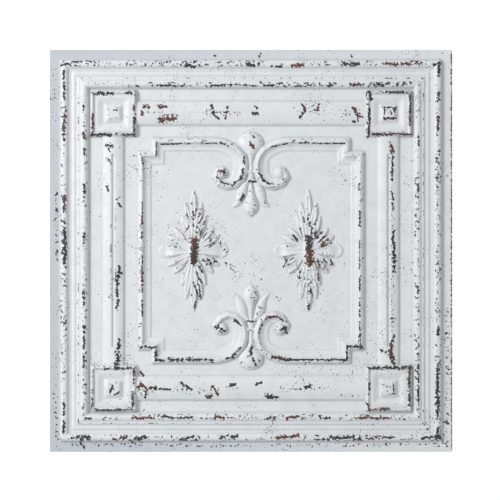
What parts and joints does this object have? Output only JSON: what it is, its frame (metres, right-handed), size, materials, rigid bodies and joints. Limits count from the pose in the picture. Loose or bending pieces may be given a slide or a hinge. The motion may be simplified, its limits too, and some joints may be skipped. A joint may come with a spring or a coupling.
{
  "type": "ceiling tile",
  "caption": "Square pressed ceiling tile with a moulded border, corner blocks, a notched inner frame with scrolls, and two leaf rosettes, in chipped white paint.",
  "frame": {"origin": "centre of the tile's back, on the level floor it lies on", "axes": "+Z out of the decorated face, +X across the face with the rosettes side by side, +Y up the face along the scrolls and fleurs"},
  "size_m": [0.603, 0.603, 0.0099],
  "materials": {
    "chipped_paint": "matte"
  },
  "bodies": {
    "root": {"tile_sheet": "chipped_paint"}
  },
  "joints": []
}
